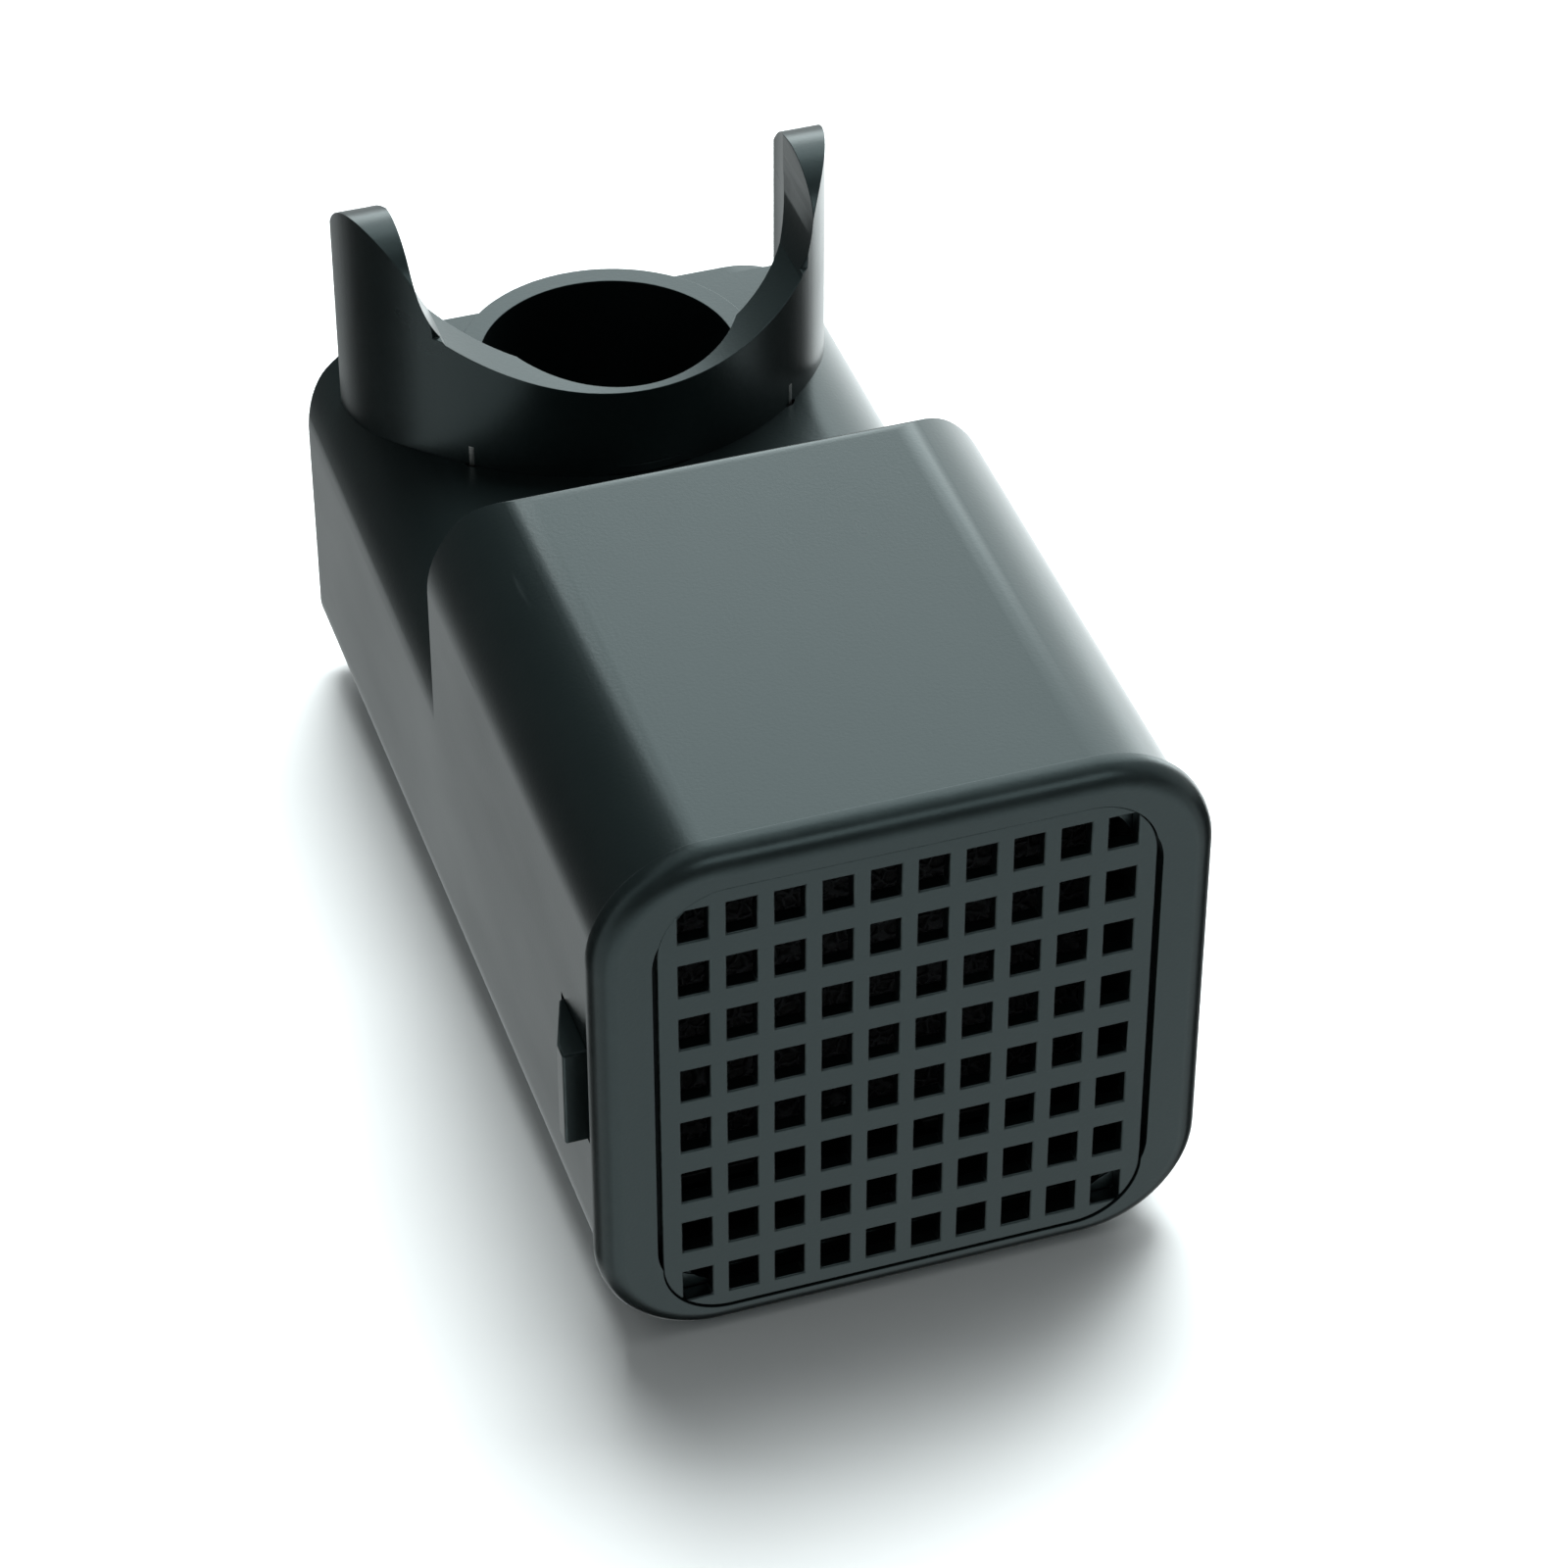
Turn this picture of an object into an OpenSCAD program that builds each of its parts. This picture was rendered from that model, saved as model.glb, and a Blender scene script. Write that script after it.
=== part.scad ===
// Snap-on pre-filter for a small submersible water pump.
// +Z is up, -Y is the intake end, the origin is under the middle of the base.

/* [Housing] */
// Width of the housing and of the front frame
body_w = 60; // [50:1:75]
// Height of the intake tunnel
body_h = 60; // [56:1:75]
// Length over everything, front to rear
body_l = 116; // [112:1:140]
// Length from the front face to the rear of the tall tunnel
tunnel_l = 62; // [62:1:66]
// Height of the low rear deck
deck_h = 43; // [38:1:46]
// Radius of the long corners
corner_r = 11; // [6:0.5:13]
// Thickness of the moulded walls
wall = 2.2; // [1.6:0.1:2.4]

/* [Front cap] */
// Thickness of the frame in front of the housing
rim_t = 3; // [2.5:0.1:4]
// How far the frame stands past the housing at the sides and the top
rim_lip = 1.2; // [0:0.1:1.5]
// Thickness of the rubber seal behind the frame
seal_t = 1; // [0.6:0.1:1.5]
// Columns of holes in the grille
hole_cols = 10; // [6:1:10]
// Rows of holes in the grille
hole_rows = 8; // [5:1:8]
// Width of one hole
hole_w = 3; // [2:0.1:3.4]
// Height of one hole
hole_h = 3.9; // [2:0.1:4.4]
// Spacing of the holes across the grille
pitch_x = 4.75; // [4.4:0.05:4.8]
// Spacing of the holes up the grille
pitch_z = 6.7; // [6:0.05:6.75]
// Thickness of the grille plate
grille_t = 1.8; // [1.2:0.1:1.8]

/* [Side latches] */
// Height of each latch pad
pad_h = 11.6; // [8:0.2:14]
// Length of each latch pad
pad_l = 8; // [6:0.5:8.5]
// How far each pad stands out of the side wall
pad_proud = 2.4; // [1.5:0.1:3.5]
// Height of the middle of the pads above the base
pad_z = 28; // [22:0.5:34]

/* [Pump seat] */
// Bore for the intake nozzle of the pump
port_d = 27.8; // [22:0.2:27.8]
// Height of the rim of that bore above the deck
port_rise = 4.7; // [3:0.1:6]
// Outer radius of the round seat wall
seat_r = 27; // [26.5:0.25:27.5]
// Thickness of the seat wall
seat_t = 4.4; // [3:0.1:5]
// Height of the seat wall above the deck, in the middle
seat_h = 10.4; // [8:0.2:12]
// Height of the two ears above the deck
ear_h = 24.4; // [20:0.2:26]
// Width between the two ears
ear_gap = 44; // [42:0.2:45]

/* [Filter pack] */
// Length of the coarse foam block
coarse_l = 20; // [14:1:20]
// Length of the fine foam block
fine_l = 15; // [10:0.2:15]

/* [Hidden] */
$fn = 64;

dark_grey = [0.36, 0.39, 0.39];
black_rubber = [0.08, 0.08, 0.08];
screen_grey = [0.55, 0.57, 0.57];

front_y = -body_l / 2;
rear_y = body_l / 2;
step_y = front_y + tunnel_l;
seam_y = front_y + rim_t + seal_t;
mid_z = body_h / 2;
inner_w = body_w - 2 * wall;
inner_h = body_h - 2 * wall;
inner_r = corner_r - wall;
rear_r = 3;
step_r = 3;
foot_r = 8;

grille_y = front_y + 0.2;
plate_gap = 0.05;
grille_w = 50;
grille_h = 54.6;
grille_r = 7;
window_w = grille_w - 3;
window_h = grille_h - 3;
rim_border = 4.5;
skirt_l = 5.5;
skirt_t = 1.8;
skirt_gap = 0.4;
skirt_w = inner_w - 2 * skirt_gap;
skirt_h = inner_h - 2 * skirt_gap;
skirt_r = inner_r - skirt_gap;

pad_y = seam_y + 3.4;
pad_gap = 0.5;
pad_t = 2;
pad_x = body_w / 2 + pad_proud;
slot_h = pad_h + 2 * pad_gap;
slot_end_y = pad_y + pad_l + pad_gap;

tray_y = seam_y + 13.5;
tray_t = 1.4;
tray_w = skirt_w;
tray_h = skirt_h;
tray_r = skirt_r;
tray_end_y = step_y - wall - 0.8;
tray_floor = 2;
window_l = 14;
foam_gap = 0.3;
foam_w = tray_w - 2 * tray_t - 2 * foam_gap;
foam_h = tray_h - 2 * tray_t - 2 * foam_gap;
foam_r = tray_r - tray_t - foam_gap;
screen_t = 1.4;
coarse_y = tray_y + foam_gap;
divider_y = coarse_y + coarse_l + foam_gap;
fine_y = divider_y + screen_t + foam_gap;
screen_y = tray_end_y - tray_floor - foam_gap - screen_t;

port_r = port_d / 2;
port_y = front_y + 97.6;
port_top = deck_h + port_rise;
spigot_r = port_r + 1.4;
spigot_gap = 0.15;
spigot_bottom = deck_h - 13;
entry_r = port_r + 0.2;
seat_y = front_y + 109.5;
seat_base = deck_h - 3.5;
floor_top = port_top - 1;
saddle_r = 47;
saddle_drop = 0.5;
saddle_corner_r = 12;
ear_round_r = 9.4;
ear_top_y = front_y + 101.6;
oring_t = 0.9;
oring_z = deck_h - wall / 2;
screw_r = 1.1;
screw_hole_r = 1.4;
screw_depth = 2.4;
screw_head_r = 1.9;
screw_head_t = 1.4;
screw_spots = [[-17.1, 90], [17.1, 90], [-17.1, 104.5], [17.1, 104.5]];
cup_t = 2;
cup_bottom = 8;
cup_slots = 12;
cup_slot_w = 3;

// A flat outline with four round corners, centred
module rounded_rect(w, h, r) {
  square([w - 2 * r, h], center = true);
  square([w, h - 2 * r], center = true);
  for (sx = [-1, 1], sy = [-1, 1])
    translate([sx * (w / 2 - r), sy * (h / 2 - r)])
      circle(r = r);
}

// A rounded bar along Y between two Y positions, centred on height z
module bar_y(y_from, y_to, z, w, h, r) {
  translate([0, y_to, z])
    rotate([90, 0, 0])
      linear_extrude(y_to - y_from)
        rounded_rect(w, h, r);
}

// A flat rounded ring around the Y axis
module ring_y(y_from, y_to, z, w, h, r, t) {
  difference() {
    bar_y(y_from, y_to, z, w, h, r);
    bar_y(y_from - 1, y_to + 1, z, w - 2 * t, h - 2 * t, r - t);
  }
}

// Side view of the housing: flat base, round heel, deck, step and tunnel
module side_outline(inset) {
  translate([seam_y - 1, inset])
    square([step_y - inset - seam_y + 1, body_h - step_r - inset]);
  translate([seam_y - 1, body_h / 2])
    square([step_y - step_r - seam_y + 1, body_h / 2 - inset]);
  translate([step_y - step_r, body_h - step_r])
    circle(r = step_r - inset);
  translate([seam_y - 1, inset])
    square([rear_y - foot_r - seam_y + 1, deck_h - 2 * inset]);
  translate([rear_y - foot_r - 1, foot_r])
    square([foot_r + 1 - inset, deck_h - foot_r - inset]);
  translate([rear_y - foot_r, foot_r])
    circle(r = foot_r - inset);
}

// Plan view of the housing with its rounded rear corners
module plan_outline(w, y_from, y_to, r) {
  translate([-w / 2, y_from])
    square([w, y_to - r - y_from]);
  translate([-w / 2 + r, y_to - r - 1])
    square([w - 2 * r, r + 1]);
  for (sx = [-1, 1])
    translate([sx * (w / 2 - r), y_to - r])
      circle(r = r);
}

// Repeats its children at each screw of the pump seat
module at_screws(z) {
  for (spot = screw_spots)
    translate([spot[0], front_y + spot[1], z])
      children();
}

// Outer or inner form of the housing, as one solid
module housing_form(inset) {
  w = body_w - 2 * inset;
  r = corner_r - inset;
  y_from = inset > 0 ? seam_y - 1 : seam_y;
  intersection() {
    union() {
      bar_y(y_from, step_y - inset, mid_z, w, body_h - 2 * inset, r);
      bar_y(y_from, rear_y - inset, deck_h / 2, w, deck_h - 2 * inset, r);
    }
    linear_extrude(body_h)
      plan_outline(w, y_from, rear_y - inset, rear_r - inset);
    translate([-w / 2, 0, 0])
      rotate([90, 0, 90])
        linear_extrude(w)
          side_outline(inset);
  }
}

module housing() {
  color(dark_grey)
    difference() {
      housing_form(0);
      housing_form(wall);
      // Notches for the latch pads, open at the front
      for (sx = [-1, 1])
        translate([sx * body_w / 2 - 4, seam_y - 1, pad_z - slot_h / 2])
          cube([8, slot_end_y - seam_y + 1, slot_h]);
      // Hole for the spigot of the pump seat
      translate([0, port_y, deck_h - 2 * wall])
        cylinder(r = spigot_r + spigot_gap, h = 4 * wall);
      at_screws(deck_h - 2 * wall)
        cylinder(r = screw_hole_r, h = 4 * wall);
    }
}

module front_frame() {
  color(dark_grey) {
    difference() {
      union() {
        ring_y(front_y, front_y + rim_t, mid_z + rim_lip / 2, body_w + 2 * rim_lip,
               body_h + rim_lip, corner_r + rim_lip, rim_border + rim_lip);
        bar_y(front_y + rim_t - 0.8, front_y + rim_t, mid_z, skirt_w, skirt_h, skirt_r);
        ring_y(front_y + rim_t, seam_y + skirt_l, mid_z, skirt_w, skirt_h, skirt_r, skirt_t);
      }
      // Seat of the grille plate, and the window behind it
      bar_y(front_y - 1, grille_y + grille_t, mid_z, grille_w, grille_h, grille_r);
      bar_y(front_y - 1, front_y + rim_t + 1, mid_z, window_w, window_h, grille_r);
      // Room for the latch arms
      for (sx = [-1, 1])
        translate([sx * body_w / 2 - 6, front_y + rim_t, pad_z - slot_h / 2])
          cube([12, skirt_l + 4, slot_h]);
    }
    // Two bars that carry the filter tray
    for (sz = [-1, 1])
      translate([-8, seam_y, mid_z + sz * (skirt_h / 2 - skirt_t / 2) - skirt_t / 2])
        cube([16, tray_y - seam_y, skirt_t]);
  }
}

module intake_grille() {
  color(dark_grey)
    difference() {
      bar_y(grille_y, grille_y + grille_t, mid_z, grille_w - 2 * plate_gap,
            grille_h - 2 * plate_gap, grille_r - plate_gap);
      for (c = [0 : hole_cols - 1], r = [0 : hole_rows - 1])
        translate([(c - (hole_cols - 1) / 2) * pitch_x - hole_w / 2,
                   front_y,
                   mid_z + (r - (hole_rows - 1) / 2) * pitch_z - hole_h / 2])
          cube([hole_w, rim_t, hole_h]);
    }
}

module cap_gasket() {
  color(black_rubber)
    ring_y(front_y + rim_t, seam_y, mid_z, body_w - 1.4, body_h - 1.4,
           corner_r - 0.7, 1.4);
}

// One latch: a springy arm behind the frame, with a wedge-shaped pad on it
module latch(side) {
  color(dark_grey)
    translate([0, 0, pad_z - pad_h / 2])
      linear_extrude(pad_h)
        polygon([[side * (body_w / 2 - wall - pad_t), front_y + rim_t + 0.2],
                 [side * (body_w / 2 - wall - 0.1), front_y + rim_t + 0.2],
                 [side * (body_w / 2 - wall - 0.1), pad_y],
                 [side * pad_x, pad_y],
                 [side * pad_x, pad_y + 2],
                 [side * (body_w / 2 + 0.4), pad_y + pad_l],
                 [side * (body_w / 2 - wall - pad_t), pad_y + pad_l]]);
}

module latch_left() {
  latch(-1);
}

module latch_right() {
  latch(1);
}

module filter_tray() {
  color(dark_grey)
    difference() {
      bar_y(tray_y, tray_end_y, mid_z, tray_w, tray_h, tray_r);
      bar_y(tray_y - 1, tray_end_y - tray_floor, mid_z,
            tray_w - 2 * tray_t, tray_h - 2 * tray_t, tray_r - tray_t);
      // Windows along the four sides
      for (k = [0 : 1]) {
        y = tray_y + 4 + k * (window_l + 4);
        translate([-tray_w, y, mid_z - 16])
          cube([2 * tray_w, window_l, 14]);
        translate([-tray_w, y, mid_z + 2])
          cube([2 * tray_w, window_l, 14]);
        translate([-16, y, mid_z - tray_h])
          cube([14, window_l, 2 * tray_h]);
        translate([2, y, mid_z - tray_h])
          cube([14, window_l, 2 * tray_h]);
      }
      // Openings in the rear wall
      for (sx = [-1, 1], sz = [-1, 1])
        translate([sx * 11.5 - 9.5, tray_end_y - tray_floor - 1, mid_z + sz * 11.5 - 9.5])
          cube([19, tray_floor + 2, 19]);
    }
}

module coarse_foam() {
  color([0.14, 0.15, 0.16])
    bar_y(coarse_y, coarse_y + coarse_l, mid_z, foam_w, foam_h, foam_r);
}

// A thin plate with square holes, held between the foam blocks
module screen_plate(y) {
  cells = 8;
  step = 5.6;
  cell = 4;
  color(screen_grey)
    difference() {
      bar_y(y, y + screen_t, mid_z, foam_w, foam_h, foam_r);
      for (c = [0 : cells - 1], r = [0 : cells - 1])
        translate([(c - (cells - 1) / 2) * step - cell / 2, y - 1,
                   mid_z + (r - (cells - 1) / 2) * step - cell / 2])
          cube([cell, screen_t + 2, cell]);
    }
}

module divider_screen() {
  screen_plate(divider_y);
}

module fine_foam() {
  color([0.2, 0.32, 0.42])
    bar_y(fine_y, fine_y + fine_l, mid_z, foam_w, foam_h, foam_r);
}

module rear_screen() {
  screen_plate(screen_y);
}

// The half space in front of the rear faces of the ears
module seat_front() {
  translate([-seat_r - 1, seat_y - 2 * seat_r, 0])
    cube([2 * seat_r + 2, 2 * seat_r, 2 * body_h]);
}

// Side view of the ears, rounded over at the top
module ear_profile() {
  translate([-seat_r - 1, seat_y - 2 * seat_r, 0])
    cube([2 * seat_r + 2, 2 * seat_r, deck_h + ear_h - ear_round_r]);
  translate([-seat_r - 1, ear_top_y, deck_h + ear_h - ear_round_r])
    rotate([0, 90, 0])
      cylinder(r = ear_round_r, h = 2 * seat_r + 2);
}

// Floor, port rim, wall and ears of the seat, cut to the shape of the deck
module seat_form() {
  difference() {
    union() {
      intersection() {
        translate([0, seat_y, seat_base])
          cylinder(r = seat_r, h = floor_top - seat_base);
        seat_front();
      }
      intersection() {
        translate([0, port_y, deck_h])
          cylinder(r = spigot_r + 1, h = port_rise);
        translate([0, seat_y, deck_h])
          cylinder(r = seat_r, h = port_rise);
      }
      intersection() {
        difference() {
          translate([0, seat_y, seat_base])
            cylinder(r = seat_r, h = ear_h + 4);
          translate([0, seat_y, seat_base - 1])
            cylinder(r = seat_r - seat_t, h = ear_h + 6);
        }
        seat_front();
        ear_profile();
      }
    }
    housing_form(0);
  }
}

// Round seat with two ears that hold the pump, and the port in its floor
module pump_cradle() {
  color(dark_grey)
    difference() {
      union() {
        seat_form();
        translate([0, port_y, spigot_bottom])
          cylinder(r = spigot_r, h = deck_h - spigot_bottom + 1);
      }
      // Bore for the nozzle of the pump, and the way down to it
      translate([0, port_y, spigot_bottom - 1])
        cylinder(r = port_r, h = port_top - spigot_bottom + 2);
      translate([0, port_y, port_top])
        cylinder(r = entry_r, h = ear_h);
      // Groove of the seal
      translate([0, port_y, oring_z - oring_t / 2])
        difference() {
          cylinder(r = spigot_r + 1, h = oring_t);
          translate([0, 0, -1])
            cylinder(r = spigot_r + spigot_gap - oring_t, h = oring_t + 2);
        }
      at_screws(deck_h - 1)
        cylinder(r = screw_r, h = screw_depth + 1);
      // Hollow between the ears that takes the body of the pump
      translate([0, seat_y + 1, deck_h + seat_h + saddle_r])
        rotate([90, 0, 0])
          linear_extrude(2 * seat_r)
            intersection() {
              circle(r = saddle_r, $fn = 128);
              translate([0, -saddle_drop])
                rounded_rect(ear_gap, 2 * saddle_r, saddle_corner_r);
            }
    }
}

module cradle_screws() {
  color("silver")
    at_screws(deck_h - wall) {
      cylinder(r = screw_r, h = wall + screw_depth);
      translate([0, 0, -screw_head_t])
        difference() {
          cylinder(r = screw_head_r, h = screw_head_t);
          for (a = [0, 90])
            rotate([0, 0, a])
              translate([-1.1, -0.25, -1])
                cube([2.2, 0.5, 1.7]);
        }
    }
}

module port_oring() {
  color(black_rubber)
    translate([0, port_y, oring_z])
      rotate_extrude()
        translate([spigot_r + spigot_gap - oring_t / 2, 0])
          circle(r = oring_t / 2, $fn = 24);
}

module outlet_strainer() {
  color(screen_grey)
    translate([0, port_y, cup_bottom])
      difference() {
        cylinder(r = spigot_r, h = spigot_bottom - cup_bottom);
        translate([0, 0, cup_t])
          cylinder(r = spigot_r - cup_t, h = spigot_bottom);
        for (k = [0 : cup_slots / 2 - 1])
          rotate([0, 0, k * 360 / cup_slots])
            translate([-spigot_r - 2, -cup_slot_w / 2, 4])
              cube([2 * spigot_r + 4, cup_slot_w, 12]);
      }
}

housing();
front_frame();
intake_grille();
cap_gasket();
latch_left();
latch_right();
filter_tray();
coarse_foam();
divider_screen();
fine_foam();
rear_screen();
pump_cradle();
cradle_screws();
port_oring();
outlet_strainer();
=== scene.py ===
from math import cos, degrees, radians, sin

import bmesh
import bpy
from bpy.props import FloatProperty, FloatVectorProperty, IntProperty, PointerProperty
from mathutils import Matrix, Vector, noise


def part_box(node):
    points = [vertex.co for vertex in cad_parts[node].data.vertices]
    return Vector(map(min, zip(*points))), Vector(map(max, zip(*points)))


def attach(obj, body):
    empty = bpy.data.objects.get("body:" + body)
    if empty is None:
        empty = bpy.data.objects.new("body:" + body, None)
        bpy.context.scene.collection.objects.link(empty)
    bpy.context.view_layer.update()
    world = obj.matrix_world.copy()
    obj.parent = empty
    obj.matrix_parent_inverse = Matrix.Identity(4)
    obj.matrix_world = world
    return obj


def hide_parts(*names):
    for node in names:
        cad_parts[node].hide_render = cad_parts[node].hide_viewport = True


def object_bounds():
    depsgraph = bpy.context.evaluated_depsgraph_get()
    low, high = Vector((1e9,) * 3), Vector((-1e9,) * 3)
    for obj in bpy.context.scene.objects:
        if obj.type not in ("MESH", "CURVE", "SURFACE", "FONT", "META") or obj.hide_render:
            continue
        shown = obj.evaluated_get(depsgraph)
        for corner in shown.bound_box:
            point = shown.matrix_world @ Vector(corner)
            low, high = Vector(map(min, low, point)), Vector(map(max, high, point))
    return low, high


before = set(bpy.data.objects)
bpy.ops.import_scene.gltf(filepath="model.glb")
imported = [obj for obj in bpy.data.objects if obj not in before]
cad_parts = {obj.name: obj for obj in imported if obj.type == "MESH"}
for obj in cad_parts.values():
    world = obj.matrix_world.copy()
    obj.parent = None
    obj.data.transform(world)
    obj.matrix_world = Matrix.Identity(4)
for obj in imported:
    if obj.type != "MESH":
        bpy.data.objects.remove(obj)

bl_info = {
    "name": "Pump water filter",
    "version": (1, 0, 0),
    "blender": (4, 5, 0),
    "location": "View3D > Sidebar > Water filter",
    "description": "Builds the looks of a snap-on water filter for a small pump",
    "category": "Object",
}

MM = 0.001
WELD = 1e-6                      # points closer than this are one point, in metres
FLAT_ANGLE = radians(0.5)        # faces closer than this to one plane become one face
EDGE_ANGLE = radians(28)         # edges sharper than this are rounded
SHARP_ANGLE = radians(38)        # faces that meet more sharply than this don't shade smoothly
FACE_WEIGHT = 80                 # how much the large faces decide the shading of the small ones
BROAD_WEAR = 0.12                # share of wear on the broad roundings
BROAD_STEPS = 2                  # faces that a broad rounding has over a fine one
SMALL_STEPS = 2                  # faces across the roundings of small or hidden pieces
SEAL_ROUND = 0.2 * MM
RING_ROUND = 0.1 * MM
SCREW_ROUND = 0.12 * MM
SKIN = 1 * MM                    # edges this close to the housing's sides lie on its skin
REAR_SKIN = 3.1 * MM             # the same at its rear face, behind the rear rounding
STEP_START = 50 * MM             # the step and the rear lie this far behind the housing's front
SEAT_CLEAR = 9 * MM              # ring round the spigot's seal that the seat covers
RIM_FACE = 0.05 * MM             # edges this close to the front lie on the rim's face
DECK_OVER_RING = 2 * MM          # from the top of the spigot's seal to the deck
WALL_START = 3 * MM              # from the deck up to the seat wall's free edges
FOAM_CORNER = 6.5 * MM           # radius of the foam blocks' long edges
FOAM_CORNER_STEPS = 5
FOAM_SAG = 60                    # slow unevenness of the foam, in waves per metre
FLOOR_SIZE = 3.0                 # half the floor's width, in metres
FLOOR_DROP = 0.05 * MM

# Patches of the studio round the filter. Each has its turn from straight behind it towards +X,
# and its rise above the horizon, as (from, to, softness) in degrees.
DARK_FLAGS = (
    ((-78, 4, 4), (4, 50, 5)),            # behind on the left: dark edge over the left wall
    ((-80, -29, 3), (-50, 10, 5)),        # left, low
    ((60, 108, 6), (-58, -12, 6)),        # right, low
)
BRIGHT_CARDS = (
    (0.02, (-30, 22, 3), (-54, -16, 5)),  # low behind
    (1.75, (4, 62, 3), (26, 62, 5)),      # high behind: sheen of the top
    (2.0, (24, 56, 4), (-36, 27, 5)),     # right: sheen of the right edge
    (4.5, (6, 26, 3), (10, 28, 3)),       # thin strip behind: rear top edge
)
FRONT_GLOW = 0.45                         # light from low in front
DARK_LIGHT = 0.02                         # what is left of the light in a dark flag
KEY_PLACE, KEY_SIZE = (0.16, 0.34, 0.78), (0.62, 0.50)
GLOSS_CARDS = (
    ("rim_card", (0.35, -0.92, 1.06), (0.7, 0.5)),
    ("edge_card", (1.3, 0.98, 0.2), (0.25, 0.7)),
)
CAD_LOW, CAD_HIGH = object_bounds()


# ---------------------------------------------------------------- settings

class FilterSizes(bpy.types.PropertyGroup):
    """Roundings and textures that a mould gives the pieces"""
    rim_round: FloatProperty(
        name="Rim rounding", description="Radius of the front rim's outer edge",
        default=2.4 * MM, min=0.5 * MM, max=2.9 * MM, unit="LENGTH", subtype="DISTANCE")
    shell_round: FloatProperty(
        name="Shell rounding", description="Radius of the outer edges at the step and the rear",
        default=0.9 * MM, min=0.2 * MM, max=1.2 * MM, unit="LENGTH", subtype="DISTANCE")
    seat_round: FloatProperty(
        name="Seat rounding", description="Radius of the edges of the seat wall and ears",
        default=0.55 * MM, min=0.1 * MM, max=0.8 * MM, unit="LENGTH", subtype="DISTANCE")
    fine_round: FloatProperty(
        name="Fine rounding", description="Radius of all the small moulded edges",
        default=0.25 * MM, min=0.05 * MM, max=0.4 * MM, unit="LENGTH", subtype="DISTANCE")
    foam_step: FloatProperty(
        name="Foam mesh", description="Spacing of the points on the foam blocks",
        default=0.9 * MM, min=0.5 * MM, max=3 * MM, unit="LENGTH", subtype="DISTANCE")
    foam_depth: FloatProperty(
        name="Foam hollows", description="Depth of the hollows between the foam's strands",
        default=0.5 * MM, min=0.0, max=1 * MM, unit="LENGTH", subtype="DISTANCE")
    round_steps: IntProperty(
        name="Rounding steps", description="Faces across each rounded edge",
        default=3, min=1, max=8)


class FilterColours(bpy.types.PropertyGroup):
    """Colours of the plastics, rubber, foam and metal"""
    body: FloatVectorProperty(
        name="Body plastic", description="Anthracite plastic of the housing, cap and seat",
        subtype="COLOR", size=3, min=0, max=1, default=(0.0050, 0.0074, 0.0076))
    worn: FloatVectorProperty(
        name="Worn edge", description="The same plastic where edges are rubbed",
        subtype="COLOR", size=3, min=0, max=1, default=(0.028, 0.034, 0.035))
    inner: FloatVectorProperty(
        name="Inner plastic", description="Black plastic of the tray, screens and strainer",
        subtype="COLOR", size=3, min=0, max=1, default=(0.0100, 0.0110, 0.0115))
    rubber: FloatVectorProperty(
        name="Rubber", description="Black rubber of the seals",
        subtype="COLOR", size=3, min=0, max=1, default=(0.0060, 0.0060, 0.0062))
    coarse: FloatVectorProperty(
        name="Coarse foam", description="Strands of the coarse foam",
        subtype="COLOR", size=3, min=0, max=1, default=(0.0160, 0.0170, 0.0180))
    fine: FloatVectorProperty(
        name="Fine foam", description="Strands of the fine foam",
        subtype="COLOR", size=3, min=0, max=1, default=(0.030, 0.090, 0.160))
    steel: FloatVectorProperty(
        name="Screw steel", description="Stainless steel of the screws",
        subtype="COLOR", size=3, min=0, max=1, default=(0.55, 0.55, 0.54))
    floor: FloatVectorProperty(
        name="Floor", description="Pale floor that the filter stands on",
        subtype="COLOR", size=3, min=0, max=1, default=(0.86, 0.865, 0.865))


class FilterStage(bpy.types.PropertyGroup):
    """Camera and light of the stage"""
    azimuth: FloatProperty(
        name="Camera azimuth",
        description="Turn of the camera round the filter, from straight in front",
        default=radians(-18.4), unit="ROTATION", subtype="ANGLE")
    elevation: FloatProperty(
        name="Camera elevation", description="Height of the camera above the horizon",
        default=radians(40), unit="ROTATION", subtype="ANGLE")
    lens: FloatProperty(
        name="Lens", description="Focal length in millimetres on a 36 mm sensor",
        default=122.2, min=20, max=400)
    place: FloatVectorProperty(
        name="Camera place", description="Where the camera stands, from the front of the base",
        default=(-0.12986, -0.35252, 0.38020), size=3, unit="LENGTH", subtype="TRANSLATION")
    key_power: FloatProperty(
        name="Key light", description="Power of the soft light above and behind the filter",
        default=15.5, min=0, unit="POWER")
    card_power: FloatProperty(
        name="Card light", description="Power of the cards that show only as gloss on the plastic",
        default=2.0, min=0, unit="POWER")
    tint: FloatVectorProperty(
        name="Light colour", description="Slightly cool colour of all the studio light",
        subtype="COLOR", size=3, min=0, max=1, default=(0.935, 0.995, 1.0))
    sky: FloatProperty(
        name="Studio brightness", description="Brightness of the studio round the filter",
        default=1.0, min=0)


# ---------------------------------------------------------------- node trees

class Wire:
    """A node's output, on which sums build their own Math nodes"""

    def __init__(self, tree, socket):
        self.tree = tree
        self.socket = socket

    def sum(self, operation, *values):
        """A Math node of those values."""
        node = self.tree.nodes.new("ShaderNodeMath")
        node.operation = operation
        for slot, value in zip(node.inputs, values):
            feed(self.tree, slot, value)
        return Wire(self.tree, node.outputs[0])

    def __add__(self, other):
        return self.sum("ADD", self, other)

    __radd__ = __add__

    def __sub__(self, other):
        return self.sum("SUBTRACT", self, other)

    def __rsub__(self, other):
        return self.sum("SUBTRACT", other, self)

    def __mul__(self, other):
        return self.sum("MULTIPLY", self, other)

    __rmul__ = __mul__


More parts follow.
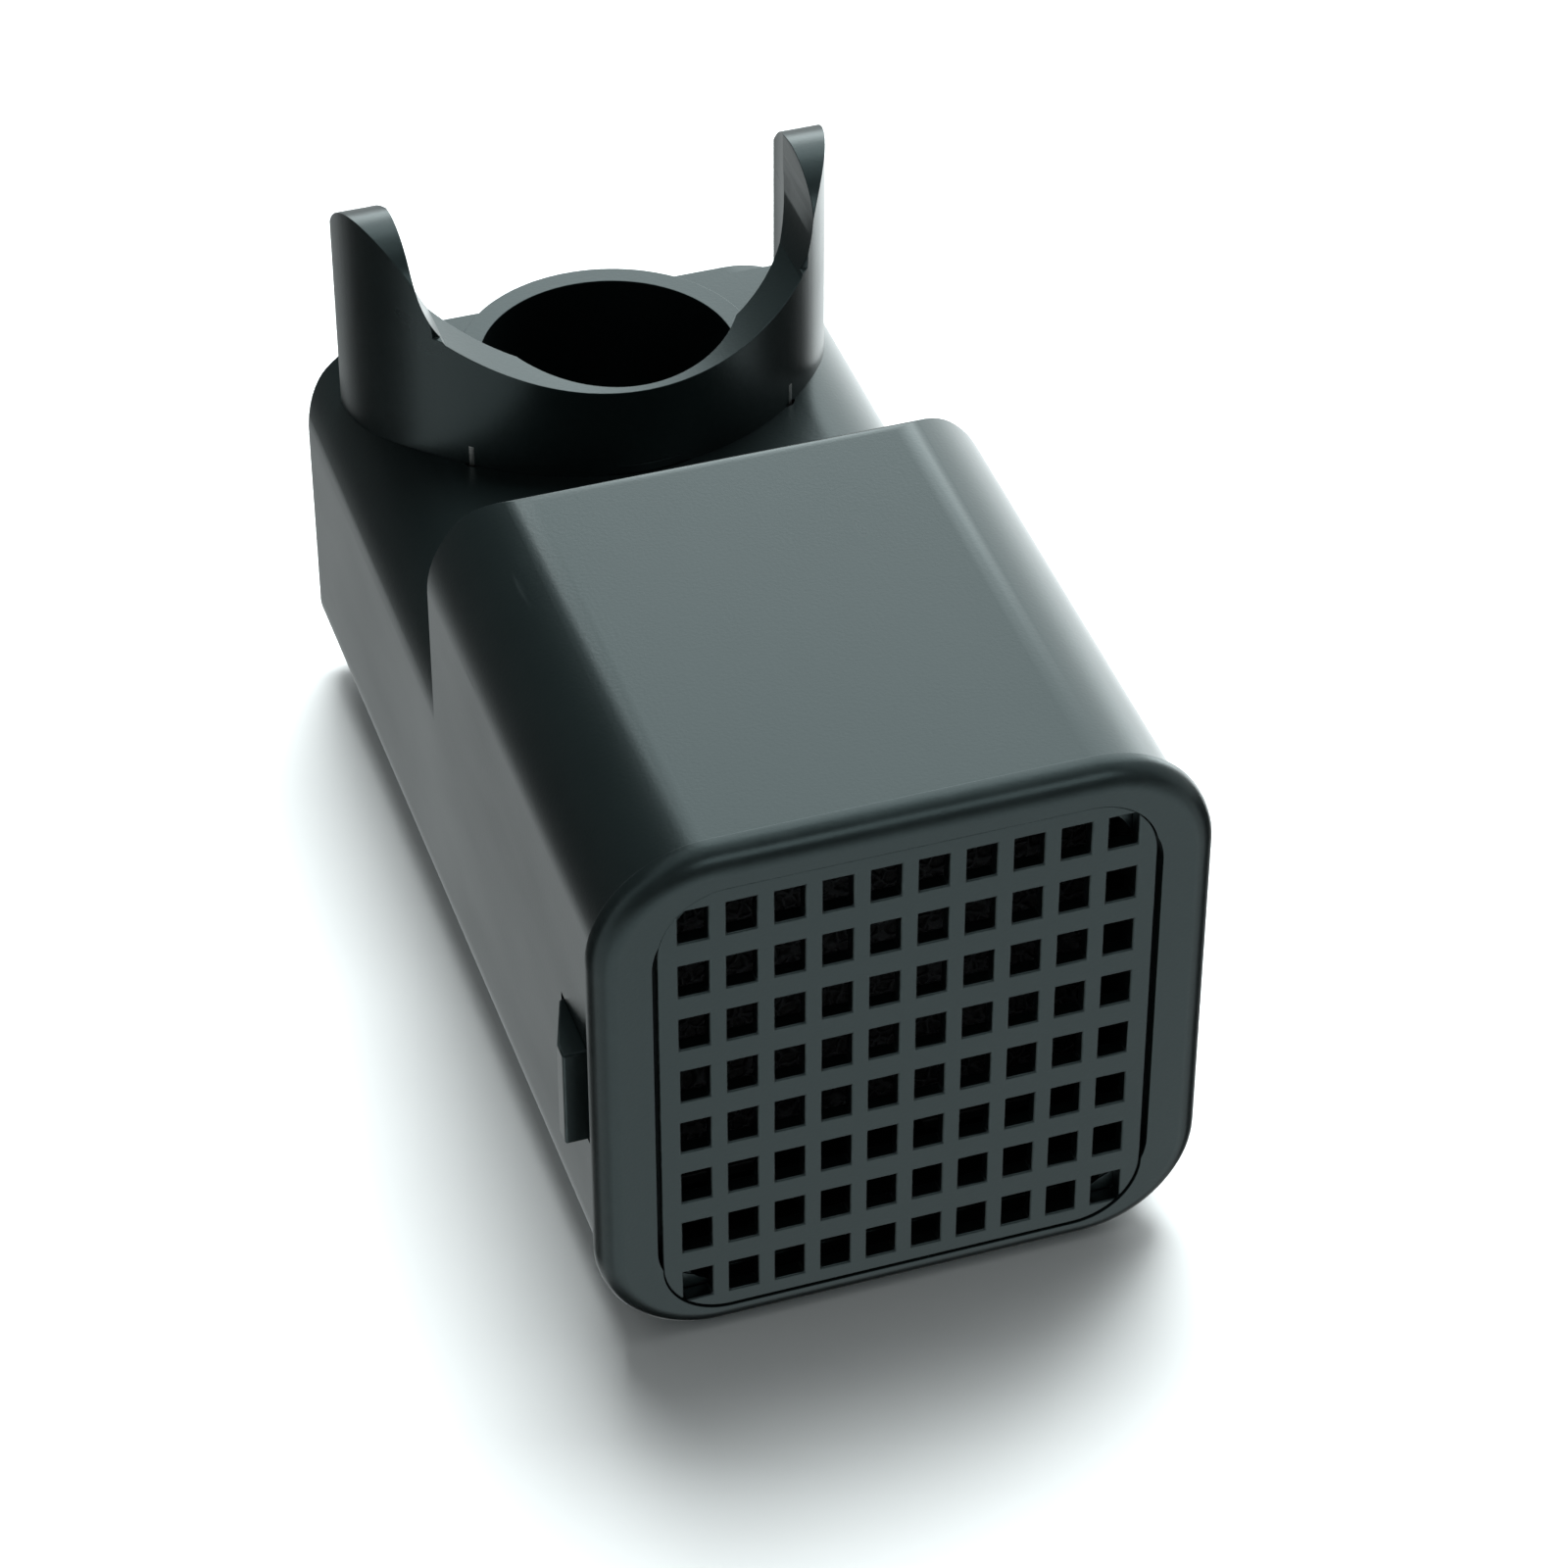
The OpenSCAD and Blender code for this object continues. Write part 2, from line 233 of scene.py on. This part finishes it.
def feed(tree, slot, value):
    """Links a wire to a node's socket, or sets the socket to a plain value."""
    if isinstance(value, Wire):
        tree.links.new(value.socket, slot)
    elif slot.type == "RGBA" and len(value) == 3:
        slot.default_value = (*value, 1)
    else:
        slot.default_value = value


class NodeTree:
    """The nodes of a material or of the studio, made one at a time"""

    def __init__(self, tree):
        self.tree = tree
        tree.nodes.clear()

    def node(self, kind, settings=(), sockets=(), out=0):
        made = self.tree.nodes.new("ShaderNode" + kind)
        for key, value in dict(settings).items():
            setattr(made, key, value)
        for key, value in dict(sockets).items():
            feed(self.tree, made.inputs[key], value)
        return Wire(self.tree, made.outputs[out])

    def place(self):
        return self.node("TexCoord", out="Object")

    def noise(self, place, scale, detail=2.0, rough=0.5):
        return self.node("TexNoise", {"noise_dimensions": "3D"},
                         {"Vector": place, "Scale": scale, "Detail": detail, "Roughness": rough})

    def stretch(self, place, scale):
        return self.node("Mapping", {}, {"Vector": place, "Scale": scale})

    def fade(self, value, start, end, low=0.0, high=1.0):
        return self.node("MapRange", {"interpolation_type": "SMOOTHSTEP"},
                         {"Value": value, "From Min": start, "From Max": end,
                          "To Min": low, "To Max": high})

    def mix(self, share, first, second):
        made = self.tree.nodes.new("ShaderNodeMix")
        made.data_type = "RGBA"
        feed(self.tree, made.inputs[0], share)
        feed(self.tree, made.inputs[6], first)
        feed(self.tree, made.inputs[7], second)
        return Wire(self.tree, made.outputs[2])

    def bump(self, height, distance):
        return self.node("Bump", {}, {"Height": height, "Distance": distance, "Strength": 1.0})


def lighter(colour, times):
    """A colour made lighter, or darker where times is under 1."""
    return [part * times for part in colour]


def new_material(name):
    """An empty material, and its nodes."""
    material = bpy.data.materials.new(name)
    material.use_nodes = True
    return material, NodeTree(material.node_tree)


def set_surface(nodes, shader):
    """Joins the last shader to the material's output."""
    output = nodes.tree.nodes.new("ShaderNodeOutputMaterial")
    nodes.tree.links.new(shader.socket, output.inputs["Surface"])


def moulded_plastic(name, colour, worn, gloss, grain_depth, tint):
    """Moulded plastic: fine spark-eroded grain, slight flow marks, and rubbed edges."""
    material, nodes = new_material(name)
    place = nodes.place()
    grain = nodes.noise(place, 2600, 3, 0.6)
    flow = nodes.noise(nodes.stretch(place, (1.0, 0.35, 1.0)), 70, 3, 0.55)
    cloud = nodes.noise(place, 24, 2)
    scuff = nodes.noise(nodes.stretch(place, (1.0, 0.06, 1.0)), 900, 2, 0.7)
    scuffs = nodes.fade(scuff, 0.64, 0.74) * nodes.fade(cloud, 0.50, 0.66)
    edge = nodes.node("Attribute", {"attribute_name": "rubbed"}, out="Fac")
    rubbed = edge * nodes.fade(nodes.noise(place, 420, 4, 0.65), 0.38, 0.66)
    base = nodes.mix(nodes.fade(flow, 0.3, 0.7) * 0.5, colour, lighter(colour, 1.28))
    base = nodes.mix(rubbed * 0.75, base, worn)
    base = nodes.mix(scuffs * 0.18, base, worn)
    rough = gloss + (flow - 0.5) * 0.10 + (cloud - 0.5) * 0.06 + scuffs * 0.10 + rubbed * 0.08
    height = grain + flow * 0.25 - scuffs * 0.3
    set_surface(nodes, nodes.node("BsdfPrincipled", {}, {
        "Base Color": base, "Roughness": rough, "IOR": 1.52, "Specular Tint": (*tint, 1),
        "Normal": nodes.bump(height, grain_depth)}))
    return material


def rubber(name, colour):
    """Soft matt rubber with a faint bloom on it."""
    material, nodes = new_material(name)
    place = nodes.place()
    bloom = nodes.noise(place, 260, 4, 0.6)
    grain = nodes.noise(place, 3800, 2, 0.6)
    base = nodes.mix(nodes.fade(bloom, 0.35, 0.75), colour, lighter(colour, 2.6))
    set_surface(nodes, nodes.node("BsdfPrincipled", {}, {
        "Base Color": base, "Roughness": 0.62 + (bloom - 0.5) * 0.25,
        "Normal": nodes.bump(grain, 0.03 * MM)}))
    return material


def open_foam(name, colour, cells):
    """Open-cell foam: bright strands round pores painted dark as the shade inside them, with cells
    per metre.
    """
    material, nodes = new_material(name)
    place = nodes.place()
    wobble = nodes.node("VectorMath", {"operation": "MULTIPLY_ADD"}, {
        0: nodes.node("TexNoise", {}, {"Vector": place, "Scale": cells * 0.6}, out="Color"),
        1: (0.8 / cells,) * 3, 2: place})
    pore = nodes.node("TexVoronoi", {"feature": "DISTANCE_TO_EDGE"},
                      {"Vector": wobble, "Scale": cells}, out="Distance")
    strand = nodes.fade(pore, 0.04, 0.24, 1.0, 0.0)
    small = nodes.noise(place, cells * 3.1, 3)
    # painted shade: the pores get a tenth of the foam colour, for the shade deep inside the open
    # cells
    base = nodes.mix(strand, lighter(colour, 0.10), lighter(colour, 1.5))
    base = nodes.mix(nodes.fade(small, 0.35, 0.8) * 0.5, base, colour)
    set_surface(nodes, nodes.node("BsdfPrincipled", {}, {
        "Base Color": base, "Roughness": 0.72 + strand * 0.12, "Specular IOR Level": 0.3,
        "Normal": nodes.bump(strand + small * 0.2, 0.5 / cells)}))
    return material


def turned_steel(name, colour):
    """Stainless screw steel with fine turning marks."""
    material, nodes = new_material(name)
    place = nodes.place()
    marks = nodes.noise(nodes.stretch(place, (1.0, 1.0, 8.0)), 900, 3, 0.6)
    base = nodes.mix(nodes.fade(marks, 0.3, 0.75), lighter(colour, 0.72), colour)
    set_surface(nodes, nodes.node("BsdfPrincipled", {}, {
        "Base Color": base, "Metallic": 1.0, "Roughness": 0.24 + marks * 0.2,
        "Normal": nodes.bump(marks, 0.01 * MM)}))
    return material


def floor_finish(name, colour):
    """Plain pale floor, very slightly mottled."""
    material, nodes = new_material(name)
    mottle = nodes.noise(nodes.place(), 14, 3)
    base = nodes.mix(mottle, lighter(colour, 0.99), colour)
    set_surface(nodes, nodes.node("BsdfPrincipled", {}, {
        "Base Color": base, "Roughness": 0.9, "Specular IOR Level": 0.1}))
    return material


def made_once(name, maker, *values):
    """The material of that name, made the first time it is asked for."""
    return bpy.data.materials.get(name) or maker(name, *values)


def body_plastic(colours):
    return made_once("anthracite_plastic", moulded_plastic, tuple(colours.body),
                     tuple(colours.worn), 0.30, 0.012 * MM, (0.76, 0.98, 1.0))


def inner_plastic(colours):
    return made_once("black_plastic", moulded_plastic, tuple(colours.inner),
                     tuple(colours.worn), 0.48, 0.02 * MM, (1.0, 1.0, 1.0))


# ---------------------------------------------------------------- meshes

def cad_form(node):
    """A merged copy of a CAD node's mesh, flat faces in one piece."""
    bm = bmesh.new()
    bm.from_mesh(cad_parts[node].data)
    bmesh.ops.remove_doubles(bm, verts=bm.verts, dist=WELD)
    bmesh.ops.dissolve_limit(bm, angle_limit=FLAT_ANGLE, use_dissolve_boundaries=False,
                             verts=bm.verts, edges=bm.edges, delimit=set())
    for face in bm.faces:
        face.material_index = 0
    return bm


def sharp_edges(bm, test=lambda edge: True):
    """The edges that a mould would round, where the test agrees."""
    return [e for e in bm.edges
            if len(e.link_faces) == 2 and e.calc_face_angle(0) > EDGE_ANGLE and test(e)]


def middle(edge):
    return (edge.verts[0].co + edge.verts[1].co) / 2


def faces_away(edge, centre):
    """True where both faces of an edge look away from the centre."""
    return all(face.normal.dot(face.calc_center_median() - centre) > 0 for face in edge.link_faces)


def round_edges(bm, edges, radius, steps, wear=1.0):
    """Rounds those edges, and marks the new faces as where hands and stones rub."""
    mark = bm.loops.layers.float.get("rubbed") or bm.loops.layers.float.new("rubbed")
    made = bmesh.ops.bevel(bm, geom=edges, offset=radius, offset_type="OFFSET", segments=steps,
                           profile=0.5, affect="EDGES", clamp_overlap=True, material=-1,
                           loop_slide=True)
    for face in made["faces"]:
        for loop in face.loops:
            loop[mark] = wear


def put(bm, name, body, slot, material, *nodes):
    """Makes a piece of a finished mesh: it rides on its body and stands for CAD nodes."""
    mesh = bpy.data.meshes.new(name)
    bm.to_mesh(mesh)
    bm.free()
    mesh.shade_smooth()
    mesh.set_sharp_from_angle(angle=SHARP_ANGLE)
    piece = bpy.data.objects.new(name, mesh)
    bpy.context.collection.objects.link(piece)
    mesh.materials.clear()
    mesh.materials.append(material)
    even = piece.modifiers.new("Even faces", "WEIGHTED_NORMAL")
    even.keep_sharp = True
    even.weight = FACE_WEIGHT
    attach(piece, body)
    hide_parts(*nodes)
    return piece


def moulded(node, name, body, slot, material, radius, steps, broad=None, broad_radius=0.0):
    """A moulded piece: the CAD form, with the broad edges rounded more than the rest."""
    bm = cad_form(node)
    if broad:
        round_edges(bm, sharp_edges(bm, broad), broad_radius, steps + BROAD_STEPS, BROAD_WEAR)
    round_edges(bm, sharp_edges(bm), radius, steps)
    put(bm, name, body, slot, material, node)


# ---------------------------------------------------------------- pieces

class BuildPiece:
    """What the operators share"""
    bl_options = {"REGISTER", "UNDO"}

    def execute(self, context):
        scene = context.scene
        self.build(scene.filter_sizes, scene.filter_colours, scene.filter_stage)
        return {"FINISHED"}


class FILTER_OT_housing(BuildPiece, bpy.types.Operator):
    """Housing: tall tunnel and low deck in one moulding"""
    bl_idname = "water_filter.housing"
    bl_label = "Housing"

    def build(self, sizes, colours, stage):
        low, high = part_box("housing")
        port_low, port_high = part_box("port_oring")
        port = (port_low + port_high) / 2
        clear = (port_high.x - port_low.x) / 2 + SEAT_CLEAR

        def outside(edge):
            at = middle(edge)
            behind = at.y > low.y + STEP_START
            skin = (at.x < low.x + SKIN or at.x > high.x - SKIN or at.z < low.z + SKIN
                    or at.y > high.y - REAR_SKIN
                    or faces_away(edge, (low + high) / 2))
            return behind and skin and (at.xy - port.xy).length > clear

        moulded("housing", "housing_shell", "housing_body", "body_plastic",
                body_plastic(colours), sizes.fine_round, sizes.round_steps,
                outside, sizes.shell_round)


class FILTER_OT_front_frame(BuildPiece, bpy.types.Operator):
    """Front frame: rounded rim of the cap, with its skirt and tray bars"""
    bl_idname = "water_filter.front_frame"
    bl_label = "Front frame"

    def build(self, sizes, colours, stage):
        low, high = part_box("front_frame")
        centre = (low + high) / 2

        def rim(edge):
            flat = all(v.co.y < low.y + RIM_FACE for v in edge.verts)
            return flat and faces_away(edge, centre)

        moulded("front_frame", "front_rim", "cap_body", "body_plastic", body_plastic(colours),
                sizes.fine_round, sizes.round_steps, rim, sizes.rim_round)


class FILTER_OT_grille(BuildPiece, bpy.types.Operator):
    """Intake grille: plate with rows of square holes"""
    bl_idname = "water_filter.grille"
    bl_label = "Intake grille"

    def build(self, sizes, colours, stage):
        moulded("intake_grille", "grille_plate", "cap_body", "body_plastic",
                body_plastic(colours), sizes.fine_round, SMALL_STEPS)


class FILTER_OT_latches(BuildPiece, bpy.types.Operator):
    """Side latches: the two press pads on their arms"""
    bl_idname = "water_filter.latches"
    bl_label = "Side latches"

    def build(self, sizes, colours, stage):
        for side in ("left", "right"):
            moulded(f"latch_{side}", f"press_pad_{side}", f"{side}_latch_body", "body_plastic",
                    body_plastic(colours), sizes.fine_round, sizes.round_steps)


class FILTER_OT_seals(BuildPiece, bpy.types.Operator):
    """Seals: flat seal behind the frame, and the ring round the seat's spigot"""
    bl_idname = "water_filter.seals"
    bl_label = "Seals"

    def build(self, sizes, colours, stage):
        soft = made_once("seal_rubber", rubber, tuple(colours.rubber))
        moulded("cap_gasket", "cap_seal", "cap_body", "seal_rubber", soft,
                SEAL_ROUND, SMALL_STEPS)
        moulded("port_oring", "spigot_seal", "housing_body", "seal_rubber", soft,
                RING_ROUND, SMALL_STEPS)


class FILTER_OT_inner_parts(BuildPiece, bpy.types.Operator):
    """Inner parts: filter tray, two screens and the outlet strainer"""
    bl_idname = "water_filter.inner_parts"
    bl_label = "Inner parts"

    def build(self, sizes, colours, stage):
        dark = inner_plastic(colours)
        for node, name, body in (("filter_tray", "tray", "cap_body"),
                                 ("divider_screen", "screen_between", "cap_body"),
                                 ("rear_screen", "screen_behind", "cap_body"),
                                 ("outlet_strainer", "strainer_cup", "housing_body")):
            moulded(node, name, body, "inner_plastic", dark, sizes.fine_round, SMALL_STEPS)


class FILTER_OT_foam(BuildPiece, bpy.types.Operator):
    """Foam: the coarse and the fine block"""
    bl_idname = "water_filter.foam"
    bl_label = "Foam blocks"

    def build(self, sizes, colours, stage):
        for node, slot, colour, cells, seed in (
                ("coarse_foam", "coarse_foam", colours.coarse, 620, 3.0),
                ("fine_foam", "fine_foam", colours.fine, 1300, 11.0)):
            low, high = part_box(node)
            centre, size = (low + high) / 2, high - low
            bm = bmesh.new()
            bmesh.ops.create_cube(bm, size=1)
            bmesh.ops.scale(bm, vec=size, verts=bm.verts)
            along = [e for e in bm.edges if abs(e.verts[0].co.y - e.verts[1].co.y) > size.y / 2]
            bmesh.ops.bevel(bm, geom=along, offset=FOAM_CORNER, offset_type="OFFSET",
                            segments=FOAM_CORNER_STEPS, profile=0.5, affect="EDGES",
                            clamp_overlap=True, material=-1)
            for axis in range(3):
                count = int(size[axis] / sizes.foam_step)
                step = Vector([0.0, 0.0, 0.0])
                for k in range(1, count):
                    step[axis] = -size[axis] / 2 + size[axis] * k / count
                    normal = Vector([0.0, 0.0, 0.0])
                    normal[axis] = 1.0
                    bmesh.ops.bisect_plane(bm, geom=bm.verts[:] + bm.edges[:] + bm.faces[:],
                                           dist=WELD, plane_co=step, plane_no=normal)
            bmesh.ops.translate(bm, vec=centre, verts=bm.verts)
            bm.normal_update()
            moves = []
            for v in bm.verts:
                wave = noise.noise((v.co + Vector((seed, 0, 0))) * cells * 0.8)
                sag = noise.noise((v.co + Vector((0, seed, 0))) * FOAM_SAG)
                depth = 0.5 + 0.5 * wave + 0.3 * (1 + sag)
                moves.append(v.normal * -min(max(depth, 0), 1.6) * sizes.foam_depth)
            for v, move in zip(bm.verts, moves):
                v.co += move
            block = put(bm, f"{node}_block", "cap_body", slot,
                        made_once(f"{node}_cells", open_foam, tuple(colour), cells), node)


class FILTER_OT_seat(BuildPiece, bpy.types.Operator):
    """Pump seat: round wall with two ears, and the port"""
    bl_idname = "water_filter.seat"
    bl_label = "Pump seat"

    def build(self, sizes, colours, stage):
        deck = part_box("port_oring")[1].z + DECK_OVER_RING

        def wall(edge):
            return middle(edge).z > deck + WALL_START

        moulded("pump_cradle", "pump_seat", "housing_body", "body_plastic", body_plastic(colours),
                sizes.fine_round, sizes.round_steps, wall, sizes.seat_round)


class FILTER_OT_screws(BuildPiece, bpy.types.Operator):
    """Screws: the four that hold the seat from inside"""
    bl_idname = "water_filter.screws"
    bl_label = "Screws"

    def build(self, sizes, colours, stage):
        moulded("cradle_screws", "seat_screws", "housing_body", "screw_steel",
                made_once("stainless", turned_steel, tuple(colours.steel)),
                SCREW_ROUND, SMALL_STEPS)


class FILTER_OT_stage(BuildPiece, bpy.types.Operator):
    """Stage: floor, studio light and camera"""
    bl_idname = "water_filter.stage"
    bl_label = "Stage"

    def build(self, sizes, colours, stage):
        bm = bmesh.new()
        bmesh.ops.create_grid(bm, x_segments=8, y_segments=8, size=FLOOR_SIZE)
        bmesh.ops.translate(bm, vec=(0, 0, CAD_LOW.z - FLOOR_DROP), verts=bm.verts)
        mesh = bpy.data.meshes.new("floor")
        bm.to_mesh(mesh)
        bm.free()
        mesh.materials.append(made_once("pale_floor", floor_finish, tuple(colours.floor)))
        floor = bpy.data.objects.new("floor", mesh)
        bpy.context.collection.objects.link(floor)
        floor.visible_glossy = False
        self.studio(stage)
        self.lights(stage)
        self.camera(stage)

    def studio(self, stage):
        """Lights the scene from all round, by direction, and shows white to the camera."""
        world = bpy.data.worlds.new("studio")
        bpy.context.scene.world = world
        world.use_nodes = True
        nodes = NodeTree(world.node_tree)
        facing = nodes.node("SeparateXYZ", {}, {0: nodes.node("TexCoord", out="Generated")})
        outputs = facing.socket.node.outputs
        across, along, up = (Wire(nodes.tree, outputs[k]) for k in range(3))
        turn = across.sum("ARCTAN2", across, along) * degrees(1)
        rise = up.sum("ARCSINE", up) * degrees(1)

        def span(value, start, end, soft):
            return nodes.fade(value, start - soft, start + soft) * nodes.fade(
                value, end - soft, end + soft, 1.0, 0.0)

        def patch(turns, rises):
            return span(turn, *turns) * span(rise, *rises)

        front = 1 - span(turn, -110, 110, 12)
        plain = nodes.fade(rise, -20, 10, 0.66, 0.55) * (
            1 - 0.72 * front * nodes.fade(rise, -6, 6))
        flags = nodes.fade(rise, -66, -58, 1.0, 0.0)
        for turns, rises in DARK_FLAGS:
            flags = flags + patch(turns, rises)
        dark = flags.sum("MINIMUM", flags, 1.0)
        light = plain * (1 - dark) + dark * DARK_LIGHT
        for strength, turns, rises in BRIGHT_CARDS:
            light = light + patch(turns, rises) * strength
        low_front = (1 - span(turn, -140, 134, 6)) * span(rise, -56, -16, 6)
        light = light + low_front * FRONT_GLOW
        seen = nodes.node("LightPath", out="Is Camera Ray")
        light = light * (1 - seen) + seen
        background = nodes.node("Background", {}, {"Color": stage.tint,
                                                   "Strength": light * stage.sky})
        output = nodes.tree.nodes.new("ShaderNodeOutputWorld")
        nodes.tree.links.new(background.socket, output.inputs["Surface"])

    def soft_light(self, name, power, place, size):
        """An area light that points at the middle of the stage."""
        lamp = bpy.data.lights.new(name, "AREA")
        lamp.shape = "RECTANGLE"
        lamp.size, lamp.size_y = size
        lamp.energy = power
        lamp.color = bpy.context.scene.filter_stage.tint
        light = bpy.data.objects.new(name, lamp)
        bpy.context.collection.objects.link(light)
        light.location = place
        light.rotation_mode = "QUATERNION"
        light.rotation_quaternion = Vector(place).to_track_quat("Z", "Y")
        return light

    def lights(self, stage):
        key = self.soft_light("key", stage.key_power, KEY_PLACE, KEY_SIZE)
        key.visible_glossy = False
        for name, place, size in GLOSS_CARDS:
            card = self.soft_light(name, stage.card_power, place, size)
            card.visible_diffuse = False

    def camera(self, stage):
        lens = bpy.data.cameras.new("camera")
        lens.lens = stage.lens
        lens.sensor_width = 36
        lens.clip_start, lens.clip_end = 0.01, 20
        camera = bpy.data.objects.new("camera", lens)
        bpy.context.collection.objects.link(camera)
        front = Vector((0, CAD_LOW.y, CAD_LOW.z))
        camera.location = front + Vector(stage.place)
        back = Vector((sin(stage.azimuth) * cos(stage.elevation),
                       -cos(stage.azimuth) * cos(stage.elevation), sin(stage.elevation)))
        camera.rotation_mode = "QUATERNION"
        camera.rotation_quaternion = back.to_track_quat("Z", "Y")
        bpy.context.scene.camera = camera
        bpy.context.scene.view_settings.view_transform = "Standard"


class VIEW3D_PT_water_filter(bpy.types.Panel):
    """Lists the sizes, the colours and the pieces"""
    bl_label = "Water filter"
    bl_space_type = "VIEW_3D"
    bl_region_type = "UI"
    bl_category = "Water filter"

    def draw(self, context):
        scene = context.scene
        for group in (scene.filter_sizes, scene.filter_colours, scene.filter_stage):
            box = self.layout.box()
            for key in group.bl_rna.properties.keys():
                if key not in ("rna_type", "name"):
                    box.prop(group, key)
        column = self.layout.column(align=True)
        for operator in OPERATORS:
            column.operator(operator.bl_idname)


GROUPS = {"filter_sizes": FilterSizes, "filter_colours": FilterColours,
          "filter_stage": FilterStage}
OPERATORS = (FILTER_OT_housing, FILTER_OT_front_frame, FILTER_OT_grille, FILTER_OT_latches,
             FILTER_OT_seals, FILTER_OT_inner_parts, FILTER_OT_foam, FILTER_OT_seat,
             FILTER_OT_screws, FILTER_OT_stage)
CLASSES = (*GROUPS.values(), *OPERATORS, VIEW3D_PT_water_filter)


def register():
    for kind in CLASSES:
        bpy.utils.register_class(kind)
    for key, kind in GROUPS.items():
        setattr(bpy.types.Scene, key, PointerProperty(type=kind))


def unregister():
    for key in GROUPS:
        delattr(bpy.types.Scene, key)
    for kind in reversed(CLASSES):
        bpy.utils.unregister_class(kind)


def main():
    register()
    for operator in OPERATORS:
        group, name = operator.bl_idname.split(".")
        getattr(getattr(bpy.ops, group), name)()


if __name__ == "__main__":
    main()
